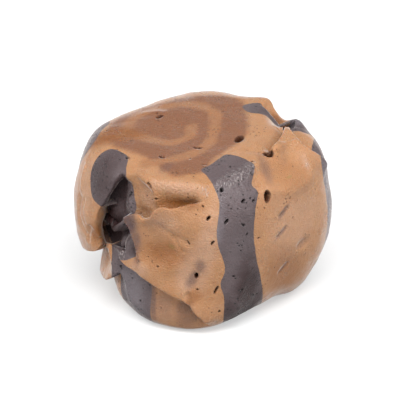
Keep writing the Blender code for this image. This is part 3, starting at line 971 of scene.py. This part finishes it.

# %% Stains and painted light
STAINS_AND_PAINTED_LIGHT = {
    "orange": [
        # painted warm shade in the valley under the rim, the middle of the flap, the hem, the right foot,
        # the curl of the lobe and the hollow at the back right; an orange tone on the back left rim, the cut
        # end and the right shoulder
        ((-13, 31), 2.4, 0.7, 0, 1.0), ((-21, 30), 1.2, 0.5, 0, 0.8), ((-20, 4), 2.2, 1.6, 0, 0.75),
        ((-90, 42), 1.5, 2.8, 0, 1.0), ((-107, 65), 1.6, 2.4, 0, 0.3), ((-4, -17), 0.8, 0.8, 0, 0.6),
        ((50, -18), 4.0, 2.2, 60, 0.5), ((-64, 1), 0.6, 1.2, 0, 0.7), ((58, 35), 3.0, 1.8, 60, 0.3),
        ((126, 42), 0.8, 1.4, 0, 1.0),
    ],
    "purple": [
        # painted shade at the lobe's inner side, in the nicks and the dimple of the right face, on the
        # facet, beside and below the spine of the right flap and in the hollow at the back right; smudges
        # and the dark stripe's soft edge on the flap and its left end, the rim and the under layer
        ((-1, 0), 0.55, 0.9, 10, 0.8), ((-5, -8), 0.55, 1.3, 28, 0.8), ((-40, 15), 1.0, 1.6, 0, 1.3),
        ((-36, 5), 0.6, 2.0, 0, 1.0), ((-35, -1), 0.4, 1.0, 0, 0.8), ((-61, 4), 0.35, 1.6, 0, 1.2),
        ((-60, 12), 0.35, 1.5, 0, 1.2), ((-61, -4), 0.35, 1.2, 0, 1.0), ((47, 20), 0.3, 0.9, 55, 0.9),
        ((45, 9), 0.3, 0.9, 55, 0.8), ((60, -4), 0.5, 0.8, 60, 0.5), ((48, -15), 0.3, 0.9, 55, 0.8),
        ((-28, 48), 0.5, 0.9, 15, 0.5), ((-10, -26), 1.0, 1.3, 60, 0.75), ((-4, -31), 0.7, 0.7, 0, 0.6),
        ((-29, -26), 0.5, 2.6, 0, 1.0), ((-24, 20), 1.2, 1.6, 0, 0.25), ((-36, 31), 1.5, 1.8, 0, 0.25),
        ((47, 43), 0.55, 1.8, 30, 0.7), ((66, 43), 0.4, 1.4, 60, 0.3), ((-8, -30), 1.6, 1.6, 0, 0.6),
        ((-22, -27), 1.4, 1.6, 0, 0.45), ((126, 42), 0.5, 1.1, 0, 0.6),
    ],
    "pale": [
        # painted highlights on the rim, the right flap and the edge at the far right; a painted reflection
        # of the white tent on the right face, and painted light on the front corner, which faces the lamps;
        # a paler tone on the left lobe, the facet, the flap, the under layer and the bump behind the right
        # flap
        ((-78, 12), 2.4, 5.0, 0, 1.0), ((54, 10), 3.5, 3.4, 0, 0.7), ((2, 10), 1.2, 5.0, 12, 1.0),
        ((-33, 31), 0.9, 1.2, 0, 0.5), ((-19, 22), 1.6, 1.0, 0, 0.6), ((-34, -7), 1.2, 0.7, 0, 0.9),
        ((-8, -6), 1.2, 2.2, 0, 1.0), ((-44, -26), 1.8, 3.0, 0, 0.8), ((-24, -30), 1.6, 2.0, 0, 0.4),
        ((20, 5), 2.0, 3.5, 0, 0.15), ((-66, -20), 2.2, 2.2, 0, 1.0), ((112, 38), 1.0, 1.0, 0, 1.0),
        ((-14, 39), 3.0, 0.6, 0, 0.9), ((71, 34), 0.3, 1.0, 25, 1.0), ((80, 2), 1.4, 6.0, 0, 1.0),
        ((-4, 0), 1.2, 2.0, 0, 0.8),
    ],
    "deep": [
        # painted shade: the front stripe darker towards its foot, which faces down, and in hollows of it and
        # of the stripe in the pocket
        ((31, 26), 0.8, 1.6, 0, 0.4), ((24, -18), 1.6, 4.5, 0, 0.9), ((24, -34), 2.4, 3.0, 0, 1.0),
        ((-56, 8), 1.6, 2.6, 0, 1.0), ((-66, 30), 2.0, 2.2, 0, 0.65), ((-52, 24), 1.2, 2.0, 0, 0.6),
        ((14, -28), 1.0, 2.0, 0, 0.7), ((26, -36), 1.6, 2.6, 0, 0.6),
    ],
    "green": [
        # specks of something
        ((-129, 67), 0.10, 0.16, 20, 0.8), ((56, 34), 0.12, 0.14, 0, 0.8), ((-16, 9), 0.35, 0.3, 0, 0.25),
    ],
    "gloss": [
        # the rim, the front corner, the top of the front stripe, the right flap and the pocket; where the
        # gloss is strongest, painted glints are laid into the colour along the dashes
        ((-33, 40), 1.6, 0.35, 0, 0.6), ((-20, 39), 1.4, 0.35, 0, 0.6), ((2, 38), 0.6, 1.0, 0, 1.0),
        ((22, 43), 1.0, 3.4, 75, 1.0), ((71, 34), 0.35, 1.0, 25, 1.0), ((-45, -4), 0.5, 0.9, 0, 1.0),
    ],
}


def stain_and_painted_light(place, wide, tall, turn, strength):
    """A soft patch: its full strength in its middle, with a ragged edge."""
    near, aside, up = patch(place, turn, 2.2 * max(wide, tall))
    away = np.hypot(aside / wide, up / tall) + 0.18 * roughly(skin.start[near], 0.8 * MM, 41)
    field = np.zeros(len(skin.start))
    field[near] = strength * (1 - ramp(away, 0.35, 1.4))
    return field


for name, rows in STAINS_AND_PAINTED_LIGHT.items():
    fields[name] = np.max([stain_and_painted_light(*row) for row in rows], axis=0)
    print(name, "covers", int((fields[name] > 0.5).sum()), "points")

# %% [markdown]
# ## The pieces
# Each stripe is closed into a solid: its part of the skin, walls along its border, and an inner
# face drawn in towards the middle. The body is the rest of the skin with the same walls and inner
# faces, so that the stripes sit in grooves that fit them exactly.

# %% Build the solids
INNER_FACE = (0.40, 0.40, 0.86)     # how far out and how far up the inner face lies, as shares
SPINE_INSET = 3.0 * MM      # the axis of that drawing lies this far inside the stripe's inner end


def open_border(faces):
    """The directed edges that only one of the faces has."""
    edges = {(a, b) for face in faces for a, b in zip(face, face[1:] + face[:1])}
    return [(a, b) for a, b in edges if (b, a) not in edges]


def inner_places(faces):
    """Where each point of the skin lies on a stripe's inner face, drawn towards an upright line."""
    used = sorted({corner for face in faces for corner in face})
    upper = skin.start[used][skin.start[used, 2] > 0][:, :2]
    radii = np.hypot(upper[:, 0], upper[:, 1])
    inner_end = upper[radii.argmin()] * (1 - SPINE_INSET / radii.min())
    spine = np.array([*inner_end, 0]) + skin.frame_shift
    return (skin.points - spine) * INNER_FACE + spine


def mark_border(mesh, outer_count):
    """Keep the edge between the outer skin and the walls crisp."""
    outer_edges = {key for face in mesh.polygons[:outer_count] for key in face.edge_keys}
    inner_edges = {key for face in mesh.polygons[outer_count:] for key in face.edge_keys}
    sharp = outer_edges & inner_edges
    for edge in mesh.edges:
        edge.use_edge_sharp = tuple(sorted(edge.vertices)) in sharp


def make_piece(name, outside, closings):
    """A mesh of outer faces and pairs of (wall and inner faces, inner places)."""
    places = [skin.points]
    faces = list(outside)
    for extra, inner in closings:
        offset = sum(len(block) for block in places)
        places.append(inner)
        faces += [tuple(offset + ~corner if corner < 0 else corner for corner in face) for face in extra]
    every = np.vstack(places)
    used = np.unique(np.concatenate([np.array(face) for face in faces]))
    renumber = np.zeros(len(every), int)
    renumber[used] = np.arange(len(used))
    mesh = bpy.data.meshes.new(name)
    mesh.from_pydata(every[used].tolist(), [], [tuple(renumber[list(face)]) for face in faces])
    for field, values in fields.items():
        layer = mesh.attributes.new(field, "FLOAT", "POINT")
        layer.data.foreach_set("value", np.pad(values, (0, len(every) - len(values)))[used])
    mesh.polygons.foreach_set("use_smooth", [True] * len(mesh.polygons))
    mark_border(mesh, len(outside))
    return mesh


skin_faces = [tuple(face.vertices) for face in skin_mesh.polygons]
owned = {number: [] for number in (BODY, *range(len(STRIPE_NAMES)))}
for face, owner in zip(skin_faces, face_owner):
    owned[owner].append(face)

pieces = {}
body_closings = []
for number, name in enumerate(STRIPE_NAMES):
    faces = owned[number]
    border = open_border(faces)
    inner = inner_places(faces)
    # a corner written as ~corner is that corner's place on the inner face
    closing = [(b, a, ~a, ~b) for a, b in border]
    closing += [tuple(~corner for corner in reversed(face)) for face in faces]
    pieces[name] = make_piece(name, faces, [(closing, inner)])
    body_closings.append(([tuple(reversed(face)) for face in closing], inner))
    print(name, "has", len(faces), "outer faces and", len(border), "wall faces")
pieces["taffy_body"] = make_piece("taffy_body", owned[BODY], body_closings)

# %% [markdown]
# ## Shader node groups
# Tan and dark taffy are the same stuff in two colours, so they share four effects, each a node group with
# its own sockets: the fine grain of the pressed surface with its raised dashes, along which glints are
# painted into the colour, its soft mottling, the gloss that the paper leaves in patches, and the pores. The
# pores that are shaped in the mesh get painted shade, and between them lie clusters of pinholes too small
# for it, pressed in by the bump and given painted shade as well. A group gives out only values.

# %% Helpers for node groups
def new_group(name, inputs, outputs):
    """An empty shader node group, its input sockets and its output sockets, all of them numbers."""
    group = bpy.data.node_groups.new(name, "ShaderNodeTree")
    for label, value in inputs.items():
        socket = group.interface.new_socket(name=label, in_out="INPUT", socket_type="NodeSocketFloat")
        socket.default_value = value
    for label in outputs:
        group.interface.new_socket(name=label, in_out="OUTPUT", socket_type="NodeSocketFloat")
    return group, group.nodes.new("NodeGroupInput").outputs, group.nodes.new("NodeGroupOutput").inputs


def noise_of(tree, vector, scale, detail):
    """The value of a noise texture."""
    settings = {"Vector": vector, "Scale": scale, "Detail": detail}
    return add_node(tree, "ShaderNodeTexNoise", settings).outputs[0]


def object_place(tree, shares=(1.0, 1.0, 1.0)):
    """The object's own coordinates. A pattern is drawn out along a way whose share is small."""
    place = add_node(tree, "ShaderNodeTexCoord").outputs["Object"]
    return add_node(tree, "ShaderNodeMapping", {"Vector": place, "Scale": shares}).outputs["Vector"]


def field_of(tree, name):
    """A colour field of the mesh."""
    return add_node(tree, "ShaderNodeAttribute", attribute_name=name).outputs["Fac"]


print("group helpers are ready")

# %% Grain, mottling, gloss and pores
# lumps per metre
WRINKLE_SCALE = 2600
DASH_SCALE = 8000
GLOSS_SCALE = 420
CLUSTER_SCALE = 520
UPRIGHT = (1.0, 1.0, 0.35)              # draws a pattern out upwards
UPRIGHT_AND_BACK = (1.0, 0.35, 0.35)    # and over the rim


def grain_group():
    """Fine grain: pressed specks, short paper wrinkles, and raised dashes where it is glossy, which also say
    where glints are painted.
    """
    group, given, made = new_group(
        "pressed_grain", {"Speck Scale": 5000, "Wrinkle Share": 0.5}, ["Height", "Dashes"])
    specks = noise_of(group, object_place(group), given["Speck Scale"], 3)
    wrinkles = noise_of(group, object_place(group, UPRIGHT), WRINKLE_SCALE, 2)
    ripples = noise_of(group, object_place(group, UPRIGHT_AND_BACK), DASH_SCALE, 1)
    glints = spread(group, field_of(group, "gloss"), 0.6, 0.95)
    dashes = calculate(group, "MULTIPLY", spread(group, ripples, 0.5, 0.64), glints)
    grain = calculate(group, "ADD", specks, calculate(group, "MULTIPLY", wrinkles, given["Wrinkle Share"]))
    group.links.new(calculate(group, "ADD", grain, dashes), made["Height"])
    group.links.new(dashes, made["Dashes"])
    return group


def mottle_group():
    """Slow and quick wandering of the colour, each from 0 to 1."""
    group, given, made = new_group(
        "pulled_mottle", {"Slow Scale": 320, "Quick Scale": 1500}, ["Slow", "Quick"])
    for name in ("Slow", "Quick"):
        lumps = noise_of(group, object_place(group), given[name + " Scale"], 3)
        group.links.new(spread(group, lumps, 0.3, 0.7), made[name])
    return group


def gloss_group():
    """Roughness with smoother patches, where the paper has polished the surface."""
    group, given, made = new_group("paper_gloss", {"Dull": 0.55, "Polished": 0.35}, ["Roughness"])
    patches = spread(group, noise_of(group, object_place(group), GLOSS_SCALE, 2), 0.42, 0.62)
    share = calculate(group, "MAXIMUM", patches, field_of(group, "gloss"))
    span = calculate(group, "SUBTRACT", given["Polished"], given["Dull"])
    rough = calculate(group, "ADD", given["Dull"], calculate(group, "MULTIPLY", span, share))
    group.links.new(rough, made["Roughness"])
    return group


def pore_group():
    """The painted shade of a pore or pinhole, and the pinholes alone."""
    group, given, made = new_group(
        "open_pores", {"Strength": 0.8, "Pinhole Scale": 2400, "Spread": 0.5}, ["Dark", "Pinhole"])
    place = object_place(group)
    cells = add_node(group, "ShaderNodeTexVoronoi", {"Vector": place, "Scale": given["Pinhole Scale"]})
    holes = spread(group, cells.outputs["Distance"], 0.19, 0.26, 1.0, 0.0)
    cluster = calculate(group, "GREATER_THAN", noise_of(group, place, CLUSTER_SCALE, 1), given["Spread"])
    pinhole = calculate(group, "MULTIPLY", holes, cluster)
    dark = calculate(group, "MULTIPLY", field_of(group, "pore"), given["Strength"])
    darkest = calculate(group, "MAXIMUM", dark, calculate(group, "MULTIPLY", pinhole, 0.85))
    group.links.new(darkest, made["Dark"])
    group.links.new(pinhole, made["Pinhole"])
    return group


groups = {group.name: group for group in (grain_group(), mottle_group(), gloss_group(), pore_group())}
print("node groups:", ", ".join(groups))

# %% [markdown]
# ## The two taffies
# The surface is satin, with a little light passing through it. Its colour is built up as the sweet is: the
# light outer layer first, then the browner mass of the cut end with its swirl, then what lies on top:
# smudges and painted light, that is painted highlights, the painted shade of creases and hollows, and the
# painted shade of the pores. Where a surface is seen at a flat angle a painted glare makes it pale, which
# hides its colour but not the pores.

# %% Materials
LIGHT_TAN = (0.305, 0.150, 0.066)
MASS_BROWN = (0.158, 0.067, 0.033)
SWIRL_TAN = (0.248, 0.114, 0.051)
# painted warm shade of hollows, and the orange tone of a few places
ORANGE_TONE_AND_SHADE = (0.170, 0.056, 0.009)
# a paler tone, also used for painted highlights and painted light
PALE_TAN_AND_HIGHLIGHT = (0.360, 0.215, 0.138)
# smudges, and painted shade in creases, nicks and hollows
SMUDGE_AND_SHADE_BROWN = (0.085, 0.052, 0.048)
# painted shade in the pores of the tan, with a brown tint
PORE_SHADE_BROWN = (0.055, 0.016, 0.005)
DARK_TAFFY = (0.060, 0.042, 0.043)
DARK_TAFFY_LIGHT = (0.090, 0.067, 0.070)
# the same on the stripes, with the painted glare at the far right edge
PALE_DARK_TAFFY_AND_HIGHLIGHT = (0.130, 0.112, 0.122)
# painted shade on the stripes
DARK_TAFFY_SHADE = (0.021, 0.008, 0.008)
# colour of the painted glare and the painted glints
GLARE = (0.60, 0.53, 0.51)
DASH_GLARE = 0.26
RELIEF = 0.6
SPECK_GREEN = (0.10, 0.12, 0.02)
# painted shade in the pores of the stripes
DARK_PORE_SHADE = (0.006, 0.004, 0.004)


def place_group(tree, name, values=None):
    """The outputs of a node that uses one of the groups, with its own values."""
    return add_node(tree, "ShaderNodeGroup", values, node_tree=groups[name]).outputs


def lay_over(tree, colour, covers):
    """Lay colours over a colour, one after another, each with its share."""
    for share, cover in covers:
        # sockets 0, 6 and 7 of a Mix node are its share and two colours, and output 2 is their mix
        sockets = {0: share, 6: colour, 7: (*cover, 1)}
        colour = add_node(tree, "ShaderNodeMix", sockets, data_type="RGBA").outputs[2]
    return colour


def field_share(tree, name, strength=1.0):
    """A colour field of the mesh, as a share."""
    return calculate(tree, "MULTIPLY", field_of(tree, name), strength)


def finish_surface(tree, shader, colour, glare_range, covers, pinholes, grain, bump, gloss):
    """Wire a shader: the colour, a painted glare at flat angles with painted glints on the dashes, what
    hides the glare, the gloss and the grain.
    """
    texture = place_group(tree, "pressed_grain", {"Speck Scale": grain, "Wrinkle Share": 0.5})
    facing = add_node(tree, "ShaderNodeLayerWeight").outputs["Facing"]
    # painted glare where the surface is seen at a flat angle, and painted glints on the dashes, laid into
    # the base colour
    glare = spread(tree, facing, glare_range[0], 1.0, 0.0, glare_range[1])
    glare = calculate(tree, "MAXIMUM", glare, calculate(tree, "MULTIPLY", texture["Dashes"], DASH_GLARE))
    height = calculate(tree, "SUBTRACT", texture["Height"], pinholes)
    relief = add_node(tree, "ShaderNodeBump", {"Strength": RELIEF, "Distance": bump, "Height": height})
    rough = place_group(tree, "paper_gloss", gloss)
    tree.links.new(lay_over(tree, colour, [(glare, GLARE), *covers]), shader.inputs["Base Color"])
    tree.links.new(rough["Roughness"], shader.inputs["Roughness"])
    tree.links.new(relief.outputs["Normal"], shader.inputs["Normal"])


def tan_taffy():
    """The light outer layer and the brown swirled mass."""
    material, shader = shader_material("tan_taffy", {
        "Specular IOR Level": 0.25, "Sheen Weight": 0.06, "Sheen Roughness": 0.35,
        "Subsurface Weight": 0.28, "Subsurface Radius": (1.0, 0.45, 0.22), "Subsurface Scale": 0.6 * MM})
    tree = material.node_tree
    mottle = place_group(tree, "pulled_mottle")
    pores = place_group(tree, "open_pores", {"Strength": 0.97, "Pinhole Scale": 3000, "Spread": 0.63})
    # the pale field holds painted highlights as well as a paler tone, and the orange and purple fields
    # painted shade as well as tone and smudges
    colour = lay_over(tree, (*LIGHT_TAN, 1), [
        (calculate(tree, "MULTIPLY", mottle["Slow"], 0.25), PALE_TAN_AND_HIGHLIGHT),
        (field_share(tree, "pale", 0.8), PALE_TAN_AND_HIGHLIGHT),
        (field_share(tree, "mass"), MASS_BROWN),
        (field_share(tree, "swirl", 0.9), SWIRL_TAN),
        (field_share(tree, "orange", 0.95), ORANGE_TONE_AND_SHADE),
        (field_share(tree, "purple", 0.8), SMUDGE_AND_SHADE_BROWN),
        (calculate(tree, "MULTIPLY", mottle["Quick"], 0.15), MASS_BROWN),
        (field_share(tree, "green"), SPECK_GREEN)])
    finish_surface(tree, shader, colour, (0.6, 0.75), [(pores["Dark"], PORE_SHADE_BROWN)], pores["Pinhole"],
                   6000, 0.22 * MM, {"Dull": 0.5, "Polished": 0.26})
    return material


def dark_taffy():
    """The greyish purple brown of the stripes."""
    material, shader = shader_material("dark_taffy", {
        "Specular IOR Level": 0.3, "Sheen Weight": 0.02, "Sheen Roughness": 0.35,
        "Subsurface Weight": 0.1, "Subsurface Radius": (1.0, 0.6, 0.5), "Subsurface Scale": 0.3 * MM})
    tree = material.node_tree
    mottle = place_group(tree, "pulled_mottle", {"Slow Scale": 260, "Quick Scale": 1300})
    pores = place_group(tree, "open_pores", {"Strength": 0.95, "Pinhole Scale": 2400, "Spread": 0.5})
    colour = lay_over(tree, (*DARK_TAFFY, 1), [
        (mottle["Slow"], DARK_TAFFY_LIGHT),
        (field_share(tree, "pale", 0.9), PALE_DARK_TAFFY_AND_HIGHLIGHT)])
    # the deep field is painted shade, and the pores' darkening is painted shade too
    covers = [(field_share(tree, "deep"), DARK_TAFFY_SHADE), (pores["Dark"], DARK_PORE_SHADE)]
    finish_surface(tree, shader, colour, (0.62, 0.6), covers, pores["Pinhole"],
                   6000, 0.18 * MM, {"Dull": 0.5, "Polished": 0.2})
    return material


materials = {"tan_taffy": tan_taffy(), "dark_taffy": dark_taffy()}
print("materials:", ", ".join(materials))

# %% Put the pieces in the frame
for name, mesh in pieces.items():
    slot = "tan_taffy" if name == "taffy_body" else "dark_taffy"
    mesh.materials.append(materials[slot])
    piece = place_object(name + "_surface", mesh)
    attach(piece, "root")
    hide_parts(name)
    print(piece.name, "has", sum(len(face.vertices) - 2 for face in mesh.polygons), "triangles")
